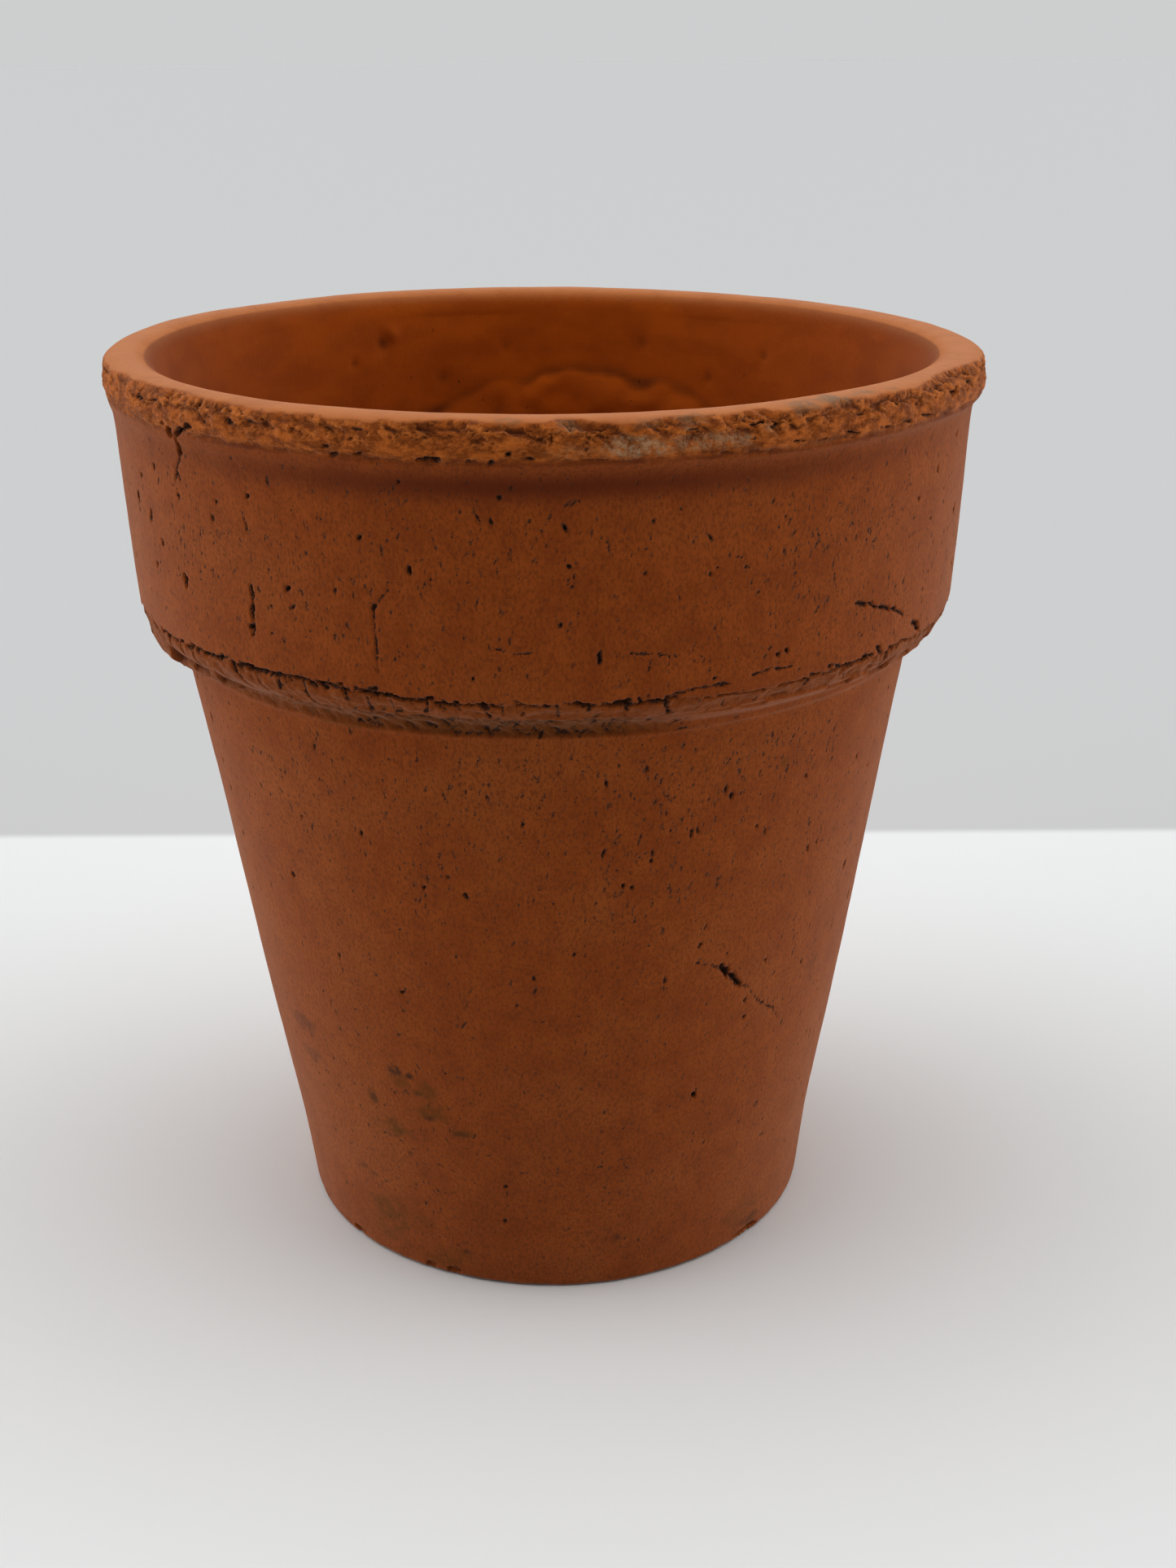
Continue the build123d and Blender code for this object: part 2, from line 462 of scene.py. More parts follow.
def add_waves():
    """Slow unevenness of hand-finished clay."""
    clay.depth += 0.10 * smooth_noise(POINTS, 17.0, 31) + 0.03 * smooth_noise(POINTS, 5.0, 32)
    clay.depth += 0.008 * smooth_noise(POINTS, 1.2, 33)


# The seam under the collar's edge, at turns round the pot: the crack's height, how far it gapes,
# and how rough the groove under the band is.
SEAM = [
    (-180, 55.7, 0.6, 0.5), (-150, 55.9, 0.9, 0.3), (-120, 55.6, 0.5, 0.7), (-90, 55.7, 0.7, 0.5),
    (-65, 55.9, 0.8, 0.4), (-45, 56.1, 1.0, 0.5), (-25, 56.0, 0.9, 0.7), (-13, 55.6, 0.7, 1.0),
    (0, 55.4, 0.5, 1.0), (10, 55.5, 0.8, 0.9), (16, 55.6, 0.6, 0.5), (22, 55.3, 0.3, 0.1),
    (30, 55.3, 0.35, 0.0), (37, 55.6, 1.0, 0.0), (48, 55.7, 1.0, 0.0), (54, 55.6, 0.4, 0.1),
    (62, 55.6, 0.5, 0.15), (80, 55.7, 0.6, 0.4), (110, 55.6, 0.8, 0.6), (140, 55.9, 0.4, 0.4),
    (180, 55.7, 0.6, 0.5),
]
SEAM_TURNS, SEAM_HEIGHTS, SEAM_GAPES, SEAM_GROOVES = np.array(SEAM).T
BAND_BOTTOM = 54.1
# Where the band under the seam is split: turn, wide.
BAND_SPLITS = [
    (-66, 0.1), (-59, 0.12), (-55.5, 0.15), (-51.3, 0.2), (-45.3, 0.1), (-42.0, 0.25), (-38, 0.08),
    (-34.0, 0.35), (-30.2, 0.3), (-24.2, 0.2), (-21.2, 0.2), (-18.3, 0.2), (-13.4, 0.3), (-12.5, 0.1),
    (-10.2, 0.1), (-6.4, 0.3), (-4.2, 0.06), (-1.7, 0.12), (2.1, 0.2), (6.0, 0.25), (10.6, 0.3),
    (15.4, 0.25), (19.8, 0.08), (23.2, 0.1), (28.3, 0.1), (35.5, 0.15), (42.0, 0.12), (50.5, 0.2),
    (58, 0.12),
]


def band_splits():
    """Every place where the band is split: the front's, then others at random round the back."""
    rng = np.random.default_rng(47)
    splits = list(BAND_SPLITS)
    turn = 66.0
    while turn < 290:
        splits.append(((turn + 180) % 360 - 180, rng.uniform(0.08, 0.28)))
        turn += rng.uniform(3, 9)
    return sorted(splits)


# How much fuller the band stands at turns round the pot, and the height of its fullest part.
BAND_SWELL = [
    (-180, 0.2), (-130, 0.4), (-85, 0.9), (-62, 0.8), (-45, 0.35), (-25, 0.0), (25, 0.0), (50, 0.2),
    (70, 0.35), (100, 0.4), (150, 0.2), (180, 0.2),
]
SWELL_HEIGHT = 53.7
# Heights between which the seam, the band and the groove lie, and how many nicks the groove has.
SEAM_LOW = 51.4
SEAM_HIGH = 58.5
GROOVE_NICKS = 90


def add_band_swell():
    """The band stands out more at the sides than at the front."""
    turns, swells = np.array(BAND_SWELL).T
    zone = clay.rows(clay.along_at(51.0), clay.along_at(58.0))
    away = ALONG[zone] - clay.along_at(SWELL_HEIGHT)
    reach = np.where(away < 0, 0.9, 1.5)
    clay.depth[zone] -= np.interp(TURN, turns, swells) * np.exp(-((away / reach) ** 2))


def open_seam(zone, gap, gape):
    """The crack itself, which gapes in some places and closes in others."""
    places = POINTS[zone]
    openness = gape * (0.55 + 0.9 * smooth_noise(places, 2.4, 42) + 0.5 * smooth_noise(places, 0.7, 50))
    width = np.clip(0.17 * openness, 0.0, 0.26)
    crack_gap = np.abs(gap + 0.05) - width
    open_crack = step(0.10, 0.35, openness)
    clay.depth[zone] += open_crack * 0.45 * step(0.10, -0.06, crack_gap)
    clay.raise_mask("pit", zone, open_crack * np.clip(0.5 - MARK_SLOPE * crack_gap, 0, 1))


def break_band(zone, gap, band_end, gape, pushed):
    """The crumbling band under the crack. Gives back how far each point is on it."""
    places, along = POINTS[zone], ALONG[zone]
    on_band = step(0.08, -0.12, gap) * step(band_end - 0.2, band_end + 0.1, along)
    chunks = fractal(stretched(places, 1.3), 1.1, 4, 44, 0.55)
    clay.depth[zone] += on_band * (0.12 + pushed + (0.08 + 0.10 * np.minimum(gape, 1)) * chunks)
    ridge = np.exp(-(((along - band_end) / 0.28) ** 2))
    clay.depth[zone] -= ridge * (0.06 + 0.06 * smooth_noise(places, 1.5, 49))
    return on_band


def roughen_groove(zone, band_end, roughness):
    """The creased groove under the band. Gives back how far each point is in it."""
    places, along = POINTS[zone], ALONG[zone]
    groove_end = clay.along_at(BODY_TOP_HEIGHT + 0.15)
    above_end = step(groove_end - 0.15, groove_end + 0.25, along)
    in_groove = above_end * step(band_end + 0.05, band_end - 0.3, along)
    rough = fractal(stretched(slanted(places, 0.6, BODY_TOP_RADIUS), 1.8), 0.8, 4, 45, 0.6)
    clay.depth[zone] += in_groove * ((0.38 * roughness - 0.12) + 0.20 * roughness * rough)
    lower_edge = np.exp(-(((along - groove_end) / 0.18) ** 2)) * (0.6 + 0.5 * smooth_noise(places, 4, 46))
    clay.depth[zone] -= lower_edge * 0.08 * (0.4 + 0.6 * roughness)
    clay.raise_mask("pit", zone, 0.62 * (in_groove * roughness * step(0.15, 0.55, rough)))
    return in_groove


def split_band(splits, rng):
    """Short cracks that run down through the band."""
    for turn, wide in splits:
        top = float(np.interp(turn, SEAM_TURNS, SEAM_HEIGHTS))
        lean = rng.uniform(-0.6, 1.4)
        bottom = BAND_BOTTOM + rng.uniform(-0.1, 1.0)
        route = [(turn, top), (turn + lean * 0.2, (top + bottom) / 2), (turn + lean, bottom)]
        cut_crack(route, wide * 1.1, 0.28, rng.uniform(0.85, 1.0))


def chip_seam():
    """Chips broken off along the crack, more of them where it gapes, and nicks in the groove."""
    rng = np.random.default_rng(55)
    turn = -180.0
    while turn < 180:
        gape = np.interp(turn, SEAM_TURNS, SEAM_GAPES)
        height = np.interp(turn, SEAM_TURNS, SEAM_HEIGHTS) + rng.normal(-0.05, 0.16)
        wide, tall = rng.uniform(0.25, 1.1) * gape, rng.uniform(0.12, 0.42) * gape
        press_pit(turn, height, wide, tall, 0.25, rng.normal(15, 25), rng.uniform(0.8, 1.0), 1.3)
        turn += rng.uniform(0.5, 2.4) / (0.3 + gape)
    for _ in range(GROOVE_NICKS):
        turn, height = rng.normal(-6, 14), rng.uniform(52.2, 54.2)
        wide, tall = rng.uniform(0.15, 0.6), rng.uniform(0.07, 0.2)
        press_pit(turn, height, wide, tall, 0.10, rng.normal(-30, 22), 1.0, 1.2)


def add_seam():
    """The crack where the collar meets the wall, the split band under it and the rough groove below."""
    zone = clay.rows(clay.along_at(SEAM_LOW), clay.along_at(SEAM_HIGH))
    places, along = POINTS[zone], ALONG[zone]
    splits = band_splits()
    rng = np.random.default_rng(48)
    block = np.searchsorted([turn for turn, _ in splits], clay.turn)
    raised = rng.uniform(-0.22, 0.18, len(splits) + 1)[block]
    pushed = rng.uniform(-0.10, 0.12, len(splits) + 1)[block]
    seam = clay.along_at(np.interp(clay.turn, SEAM_TURNS, SEAM_HEIGHTS) + raised)[None, :]
    gape = np.interp(TURN, SEAM_TURNS, SEAM_GAPES)
    roughness = np.interp(TURN, SEAM_TURNS, SEAM_GROOVES)
    gap = along - seam + 0.16 * fractal(stretched(places, 1.3), 1.3, 4, 41, 0.7)
    band_end = clay.along_at(BAND_BOTTOM) + 0.10 * smooth_noise(places, 4.0, 43)
    open_seam(zone, gap, gape)
    on_band = break_band(zone, gap, band_end, gape, pushed)
    in_groove = roughen_groove(zone, band_end, roughness)
    # The seam mask gives the band and groove an olive tint, made darker as painted shade in the groove.
    clay.raise_mask("seam", zone, np.clip(0.30 * on_band + in_groove * roughness, 0, 1))
    split_band(splits, rng)
    chip_seam()


# How far the lip's torn face reaches over the top, in millimetres inwards of the crest's
# outer edge, at turns round the pot.
TORN_REACH = [
    (-180, 0.1), (-150, -0.4), (-125, 0.3), (-105, -0.6), (-88, -0.9), (-75, -0.5), (-62, 0.1), (-54, 0.3),
    (-49, 0.6), (-44, 0.5), (-38, 0.0), (-28, -0.1), (-20, -0.4), (-12, -0.3), (-8, 0.3), (-3, 0.0),
    (4, 0.3), (7, -0.2), (12, -0.3), (17, 0.4), (21, 0.0), (25, 0.5), (28, -0.2), (40, 0.0), (50, 0.0),
    (54, 0.3), (58, 0.8), (62, 0.9), (66, 0.5), (75, -0.3), (90, -0.8), (110, 0.2), (135, -0.5), (160, 0.4),
    (180, 0.1),
]
CREST_EDGE = 1.0
TORN_LOW = 72.65
SIDE_HOLLOWS = 40
# Leaves of the torn face: size, drop, seed, and whether their edges get a painted highlight on the crest and
# painted shade in the cleft.
LEAVES = [(2.6, 0.20, 52, True), (1.7, 0.14, 58, True), (1.0, 0.09, 64, False)]

# Hollows torn out of the lip's face: turn, height, wide, tall, deep, and the slant if there is one.
LIP_HOLLOWS = [
    (-56.0, 74.4, 1.6, 0.35, 0.35, 10), (-52.5, 74.6, 1.8, 0.3, 0.4, -15), (-44.2, 73.4, 1.1, 0.3, 0.5, 25),
    (-41.5, 73.9, 1.5, 0.25, 0.3, 30), (-37.0, 74.1, 1.2, 0.3, 0.25, 20), (-34.0, 74.4, 1.3, 0.3, 0.25, 20),
    (-23.5, 73.3, 0.6, 0.3, 0.4), (-19.7, 72.9, 0.7, 0.5, 0.6), (-22.5, 72.8, 0.7, 0.35, 0.4, -10),
    (-11.2, 72.8, 2.0, 0.4, 0.4), (-7.0, 72.7, 0.8, 0.3, 0.4), (-4.8, 72.6, 0.7, 0.25, 0.4),
    (-3.0, 73.3, 0.35, 0.3, 0.4), (-0.8, 72.9, 0.6, 0.25, 0.3), (-16.5, 73.8, 0.3, 0.2, 0.25),
    (-19.6, 74.7, 0.7, 0.25, 0.3), (5.3, 73.6, 0.3, 0.25, 0.3), (24.6, 74.7, 1.3, 0.35, 0.6, -20),
    (26.9, 74.4, 0.8, 0.2, 0.4, -25), (24.0, 73.6, 0.4, 0.25, 0.3), (30.0, 73.1, 1.0, 0.2, 0.4, 8),
    (37.5, 73.2, 1.8, 0.25, 0.5, 15), (43.5, 73.0, 1.4, 0.25, 0.45, 12), (47.5, 73.1, 1.6, 0.25, 0.45, 12),
    (52.0, 73.1, 1.7, 0.25, 0.45, 12), (59.3, 74.3, 2.0, 0.5, 0.7, -15), (33.0, 73.0, 0.8, 0.2, 0.35),
    (16.7, 74.7, 1.1, 0.25, 0.3), (65.0, 74.5, 1.8, 0.3, 0.3, 10), (49.8, 74.2, 0.6, 0.25, 0.3),
    (38.8, 74.3, 0.7, 0.25, 0.3),
]
# The notch where a crack runs down from the lip into the collar.
LIP_NOTCH = [(-44.0, 73.3), (-46.3, 72.8), (-47.3, 72.2)]
LIP_NOTCH_TAIL = [(-49.6, 73.0), (-47.6, 72.3), (-47.2, 71.0)]


def torn_leaves(places, upper):
    """Depth of the torn face's leaves, with the crests and the clefts along their edges."""
    worn = 0.10 + 0.08 * upper + 0.05 * fractal(places, 1.2, 4, 60, 0.65)
    crest, cleft = np.zeros(worn.shape), np.zeros(worn.shape)
    drawn_out = stretched(slanted(places, 0.45, LIP_RADIUS), 1.9)
    for size, drop, seed, edged in LEAVES:
        leaf = fractal(drawn_out, size, 5, seed, 0.6)
        worn = worn + (0.35 + 0.65 * upper) * drop * step(-0.05, 0.05, leaf)
        if edged:
            crest = np.maximum(crest, np.exp(-(((leaf + 0.11) / 0.08) ** 2)))
            cleft = np.maximum(cleft, np.exp(-(((leaf - 0.09) / 0.07) ** 2)))
    return worn, crest, cleft


def tear_lip_face():
    """The torn face itself, from the lip's lower edge to its crest."""
    zone = clay.rows(clay.along_at(72.0), clay.crest + 2.5)
    places, along = POINTS[zone], ALONG[zone]
    low = clay.along_at(TORN_LOW)
    high = clay.crest - CREST_EDGE + np.interp(TURN, *np.array(TORN_REACH).T)
    wander = fractal(stretched(places, 1.3), 1.8, 4, 51, 0.6)
    above_low = step(-0.12, 0.10, along - low - 0.16 * wander)
    below_high = high + 0.30 * wander - along
    torn = above_low * step(-0.05, 0.10, below_high)
    cut = above_low * step(-0.15, 0.55, below_high)
    upper = step(0.9, 2.0, along - low + 0.5 * wander)
    worn, crest, cleft = torn_leaves(places, upper)
    clay.depth[zone] += cut * np.clip(worn, -0.05, 0.8)
    clay.raise_mask("torn", zone, torn)
    # The clefts get painted shade, and the crests that stand proud get a painted highlight.
    clay.raise_mask("crease", zone, torn * cleft * (0.45 + 0.55 * upper))
    clay.raise_mask("proud", zone, torn * crest * (0.2 + 0.5 * upper))


def add_torn_lip():
    """The lip's outer face, where weather has torn off the fired skin, leaving flakes and hollows."""
    tear_lip_face()
    for turn, height, wide, tall, deep, *slant in LIP_HOLLOWS:
        press_pit(turn, height, wide * 0.8, tall * 0.9, deep, *slant, dark=0.8, ragged=1.1)
    cut_crack(LIP_NOTCH, 0.35, 0.8)
    cut_crack(LIP_NOTCH_TAIL, 0.45, 0.9)
    rng = np.random.default_rng(57)
    for _ in range(SIDE_HOLLOWS):
        turn, height = rng.uniform(68, 292), rng.choice([72.9, 73.2, 74.4])
        wide, tall, deep = rng.uniform(0.6, 2.0), rng.uniform(0.2, 0.4), rng.uniform(0.25, 0.5)
        press_pit(turn, height, wide, tall, deep, rng.normal(0, 12), 0.75, 1.1)


# Chips round the foot's edge: turn, wide, deep.
FOOT_CHIPS = [
    (48.0, 3.2, 0.5), (-22.0, 1.4, 0.25), (-27.5, 0.9, 0.2), (-49.0, 1.6, 0.3), (120.0, 2.0, 0.4),
    (205.0, 1.5, 0.35), (160.0, 1.0, 0.25),
]


def add_foot_wear():
    """Small chips round the foot's edge, and the rough underside with its drain hole."""
    zone = clay.rows(0, clay.along_at(2.5))
    places = POINTS[zone]
    near_foot = step(1.4, 0.3, places[..., 2]) * (clay.normal_out[zone] > -0.5)[:, None]
    clay.depth[zone] += near_foot * 0.06 * np.clip(fractal(places, 2.2, 3, 61) + 0.1, 0, 1)
    underside = (clay.normal_up[zone] < -0.8)[:, None]
    clay.depth[zone] += underside * 0.05 * fractal(places, 2.5, 3, 62)
    for turn, wide, deep in FOOT_CHIPS:
        press_pit(turn, 0.4, wide, 0.8, deep, 0, 0.2)
    throat = clay.rows(clay.along[-1] - 8.0, clay.along[-1] + 1)
    clay.depth[throat] += 0.12 * fractal(POINTS[throat], 1.8, 3, 63)


# The mound of pressed clay on the far inner wall: its top's height, its middle's place
# across the pot and the radius of its upper edge.
MOUND_TOP = 67.6
MOUND_MIDDLE = 3.0
MOUND_EDGE_RADIUS = 30.0
# Small lumps and dents on the far inner wall: turn, height, size, how proud.
INNER_LUMPS = [
    (-151.0, 71.9, 1.3, 0.30), (-149.0, 71.2, 1.6, -0.20), (-143.0, 69.6, 1.0, -0.15),
    (139.0, 70.6, 1.2, -0.15), (-160.0, 67.6, 1.8, -0.15), (163.0, 70.8, 1.5, -0.12),
    (150.0, 68.0, 1.2, -0.12), (-172.0, 70.3, 1.0, -0.1),
]


def add_inner_wall():
    """The inside: faint throwing rings, and on the far wall a mound of pressed clay and small lumps."""
    zone = clay.rows(clay.crest + 4.0, clay.along[-1] - 10.0)
    places = POINTS[zone]
    rings = np.sin(places[..., 2] * 1.3 + 2 * smooth_noise(places, 22.0, 34))
    clay.depth[zone] += 0.018 * rings + 0.05 * smooth_noise(places, 7.0, 35)
    far = step(5.0, 14.0, places[..., 1])
    centre = MOUND_TOP - MOUND_EDGE_RADIUS
    bend = 0.8 * smooth_noise(places, 6.0, 71) + 0.45 * smooth_noise(places, 2.6, 73)
    below = MOUND_EDGE_RADIUS - np.hypot(places[..., 0] - MOUND_MIDDLE, places[..., 2] - centre) + bend
    lumps = 0.42 + 0.35 * smooth_noise(places, 4.2, 72) + 0.12 * smooth_noise(places, 1.8, 74)
    clay.depth[zone] -= 1.3 * far * step(-0.6, 1.7, below) * lumps * step(22, 5, below)
    for turn, height, size, proud in INNER_LUMPS:
        angle = math.radians(turn)
        radius = np.interp(height, [CAVITY_HEIGHT, THROAT_HEIGHT], [CAVITY_RADIUS, THROAT_RADIUS])
        middle = np.array([radius * math.sin(angle), -radius * math.cos(angle), height])
        away = np.linalg.norm(places - middle, axis=-1)
        clay.depth[zone] -= proud * np.exp(-((away / (size / 2)) ** 2))


# ---- what lies on the clay, and the masks of painted shade and light

# Stains: turn, height, wide, tall, strength.
BROWN_STAINS = [
    (-29.0, 20.7, 1.4, 1.1, 0.9), (-26.2, 20.5, 0.8, 0.6, 1.0), (-35.3, 17.0, 0.8, 1.0, 0.8),
    (-28.6, 12.2, 0.6, 0.6, 0.7), (-24.8, 18.8, 0.8, 0.6, 0.7), (-23.4, 16.5, 1.0, 0.6, 0.8),
    (-17.2, 15.5, 1.6, 0.5, 0.6), (-53.0, 21.4, 4.2, 1.6, 0.5), (-52.5, 18.2, 3.8, 1.5, 0.45),
    (13.3, 4.7, 1.9, 0.9, 0.6), (-18.5, 2.8, 0.9, 0.5, 0.6), (-42.6, 8.8, 1.2, 0.7, 0.6),
    (-40.0, 8.3, 0.9, 0.5, 0.6), (-33.0, 13.8, 1.6, 0.8, 0.6), (7.8, 5.6, 0.9, 0.6, 0.35),
    (48.0, 1.6, 4.5, 1.3, 0.6), (56.0, 26.5, 2.2, 1.4, 0.4), (62.5, 36.7, 1.3, 0.9, 0.4),
    (140.0, 24.0, 4.0, 2.0, 0.5), (152.0, 14.0, 3.0, 1.8, 0.5), (215.0, 9.0, 4.0, 1.5, 0.5),
    (240.0, 33.0, 2.0, 1.5, 0.5), (185.0, 42.0, 1.6, 1.2, 0.4),
]
OCHRE_STAINS = [
    (-23.6, 19.2, 2.2, 1.7, 1.0), (-21.8, 17.0, 3.4, 2.0, 1.0), (-31.8, 14.4, 3.4, 2.2, 1.0),
    (-17.0, 15.6, 2.4, 1.1, 0.8), (-28.5, 19.8, 2.4, 1.6, 0.7), (-35.5, 17.2, 1.6, 1.6, 0.6),
    (-35.5, 4.6, 6.0, 4.0, 0.75), (-38.5, 2.5, 4.0, 2.0, 0.6), (-23.0, 1.6, 5.0, 2.4, 0.65),
    (46.5, 3.0, 5.0, 2.6, 0.4), (37.5, 47.4, 0.9, 0.6, 0.8), (-27.0, 52.0, 5.0, 0.5, 0.7),
    (61.0, 55.3, 2.4, 1.0, 0.8), (146.0, 19.0, 6.0, 4.0, 0.5), (210.0, 5.0, 7.0, 4.0, 0.5),
    (100.0, 3.0, 6.0, 3.0, 0.4),
]
# Lime bloom on the lip, in the same terms.
LIME = [
    (11.5, 73.6, 6.5, 1.4, 1.0), (19.5, 73.7, 6.5, 1.2, 0.8), (4.5, 73.4, 4.0, 1.0, 0.35),
    (26.0, 74.4, 1.4, 0.7, 0.5), (16.8, 74.8, 1.2, 0.5, 0.6), (3.4, 75.0, 1.4, 0.5, 0.5),
    (170.0, 73.8, 5.0, 1.2, 0.5), (225.0, 73.5, 6.0, 1.2, 0.5),
]
# Grey smudges on the flat of the rim: turn, radius, wide, strength.
RIM_SMUDGES = [
    (35.5, 33.5, 3.4, 1.0), (31.0, 33.8, 2.8, 0.9), (41.0, 33.4, 2.6, 0.6), (-3.0, 34.0, 1.8, 0.5),
    (3.5, 34.3, 1.8, 0.7), (17.0, 34.2, 2.0, 0.7), (12.0, 34.3, 2.2, 0.4), (46.5, 33.6, 1.2, 0.4),
]


def lay_patch(name, turn, along, wide, tall, strength, seed):
    """A ragged blot on a mask."""
    where, across, up = clay.patch(turn, along, max(wide, tall) * 0.8 + 0.6)
    ragged = 0.55 * fractal(POINTS[where], max(0.6, wide * 0.35), 3, seed)
    distance = np.hypot(across / (wide / 2), up / (tall / 2)) + ragged
    clay.raise_mask(name, where, strength * step(1.3, 0.3, distance))


def add_stains():
    """Soil, algae and lime that lie on the clay."""
    for name, marks in (("brown", BROWN_STAINS), ("ochre", OCHRE_STAINS), ("lime", LIME)):
        for number, (turn, height, wide, tall, strength) in enumerate(marks):
            lay_patch(name, turn, clay.along_at(height), wide, tall, strength, 80 + number)
    crest = clay.along_at(POT_HEIGHT)
    for turn, radius, wide, strength in RIM_SMUDGES:
        lay_patch("smudge", turn, crest + (33.5 - radius), wide, wide * 0.6, strength, 130)


def blurred(values, reach):
    """Values averaged over a square of cells."""
    total = values.astype(np.float64)
    for axis in (0, 1):
        total = sum(np.roll(total, shift, axis) for shift in range(-reach, reach + 1)) / (2 * reach + 1)
    return total


def add_hollow_mask():
    """Where the surface lies below its surroundings: there the clay gets painted shade."""
    below = clay.depth - blurred(clay.depth, 4)
    clay.mask("hollow")[:] = np.clip(below / 0.2, 0, 1)


def add_shade_mask():
    """Painted shade where little light reaches: under the lip, and at the sides of the inner wall."""
    height = POINTS[..., 2]
    front = np.exp(-((TURN / 42) ** 2))
    undercut = 1.5 * np.exp(-(((height - 71.0) / 1.0) ** 2)) * front
    edge = ALONG - clay.along_at(72.62) + 0.12 * fractal(POINTS, 1.1, 3, 76)
    undercut += np.exp(-((edge / 0.17) ** 2)) * np.clip(0.65 + 0.9 * smooth_noise(POINTS, 3.0, 77), 0, 1.3)
    within = 0.9 * np.abs(clay.sine) ** 1.5 * (height > 45)
    clay.mask("shade")[:] = np.where((clay.along < clay.crest + 2.0)[:, None], undercut, within)


def add_zone_masks():
    """The flat of the rim, the inside, and how thickly the finest specks lie."""
    flat = step(0.35, 0.95, clay.normal_up)[:, None] * (clay.height > 70)[:, None]
    clay.mask("rim")[:] = flat * (1 - clay.mask("torn"))
    clay.mask("inside")[:] = step(clay.crest + 1.0, clay.crest + 4.0, clay.along)[:, None]
    worn = 0.55 + 0.6 * smooth_noise(POINTS, 9.0, 75)
    share = np.where((clay.along < clay.crest)[:, None], 1.0, 0.15)
    clay.mask("pitting")[:] = np.clip(worn * (0.4 + 0.6 * step(24, 44, POINTS[..., 2])), 0, 1) * share


# ---- the mesh


def warped(points):
    """The hand-made lean, the tilt of the rim's back half and the lip's offset."""
    points = points.copy()
    high = np.clip(points[..., 2] / POT_HEIGHT, 0, 1)
    back = step(-0.8, 0.4, points[..., 1] / LIP_RADIUS)
    lip = step(LIP_STEP_HEIGHT - 0.2, LIP_STEP_HEIGHT + 0.6, points[..., 2])
    outside = step(32.0, 34.0, np.hypot(points[..., 0], points[..., 1]))
    points[..., 2] += (RIM_TILT * points[..., 0] - RIM_DROP) * high**3 * back - RIM_DROP * high**3
    points[..., 0] += LEAN * points[..., 2] + LIP_OFFSET * lip * outside
    return points


def grid_faces(rows, columns):
    """Corner indices of the quads of a grid that closes on itself both ways."""
    row, column = np.meshgrid(np.arange(rows), np.arange(columns), indexing="ij")
    next_row, next_column = (row + 1) % rows, (column + 1) % columns
    corners = [(row, column), (row, next_column), (next_row, next_column), (next_row, column)]
    return np.stack([r * columns + c for r, c in corners], axis=-1).reshape(-1, 4)


def grid_layout(rows, columns):
    """Place of each quad's corners in a flat layout: turn across, section up."""
    row, column = np.meshgrid(np.arange(rows), np.arange(columns), indexing="ij")
    shares = np.append(clay.along / (clay.along[-1] + 0.5), 1.0) * 0.5
    shares += np.linspace(0, 0.5, rows + 1)
    corners = [(row, column), (row, column + 1), (row + 1, column + 1), (row + 1, column)]
    return np.stack([np.stack([c / columns, shares[r]], axis=-1) for r, c in corners], axis=2).reshape(-1, 2)


def build_mesh(name):
    """The pot's mesh in metres, with its masks as point attributes."""
    points = warped(clay.placed(clay.depth))
    points[..., 2] -= points[..., 2].min()
    rows, columns = clay.depth.shape
    faces = grid_faces(rows, columns)
    mesh = bpy.data.meshes.new(name)
    mesh.vertices.add(rows * columns)
    mesh.vertices.foreach_set("co", (points * MM).astype(np.float32).ravel())
    mesh.loops.add(faces.size)
    mesh.loops.foreach_set("vertex_index", faces.astype(np.int32).ravel())
    mesh.polygons.add(len(faces))
    mesh.polygons.foreach_set("loop_start", np.arange(0, faces.size, 4, dtype=np.int32))
    mesh.polygons.foreach_set("use_smooth", np.ones(len(faces), bool))
    layout = mesh.uv_layers.new(name="OFBake")
    layout.uv.foreach_set("vector", grid_layout(rows, columns).astype(np.float32).ravel())
    for mask, values in clay.masks.items():
        attribute = mesh.attributes.new(mask, "FLOAT", "POINT")
        attribute.data.foreach_set("value", values.astype(np.float32).ravel())
    mesh.update(calc_edges=True)
    mesh.validate()
    return mesh


# ---- the clay's material


def srgb(red, green, blue):
    """A colour given as 0 to 255 screen values, as the linear colour that shaders use."""
    parts = [value / 255 for value in (red, green, blue)]
    return tuple(v / 12.92 if v <= 0.04045 else ((v + 0.055) / 1.055) ** 2.4 for v in parts) + (1.0,)


